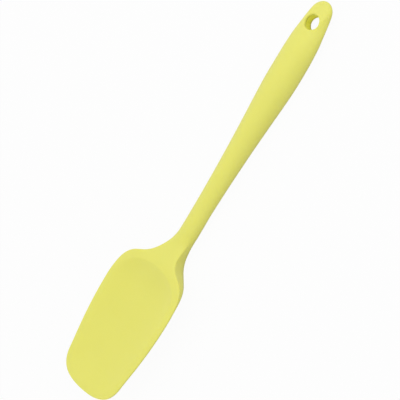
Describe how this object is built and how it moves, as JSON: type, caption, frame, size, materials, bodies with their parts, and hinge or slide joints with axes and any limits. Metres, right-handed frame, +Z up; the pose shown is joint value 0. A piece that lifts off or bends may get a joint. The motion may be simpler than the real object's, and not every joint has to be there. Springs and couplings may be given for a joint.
{
  "type": "spatula",
  "caption": "Spoon-shaped silicone spatula: a shallow dished blade set above a round tapering handle with a hang hole, moulded as a soft jacket over a stiff nylon core.",
  "frame": {"origin": "on the plane that the spatula rests on, under the middle of its length and width", "axes": "+X from the hang end to the blade's tip, +Y to the left of the blade seen from the hang end with the dish up, +Z up out of the dish"},
  "size_m": [0.27, 0.0564, 0.017],
  "materials": {
    "silicone": "matte lemon-lime silicone with a soft sheen",
    "nylon": "satin moulded nylon, dyed a stronger tone of the jacket's colour"
  },
  "bodies": {
    "root": {"silicone_jacket": "silicone", "nylon_core": "nylon"}
  },
  "joints": []
}
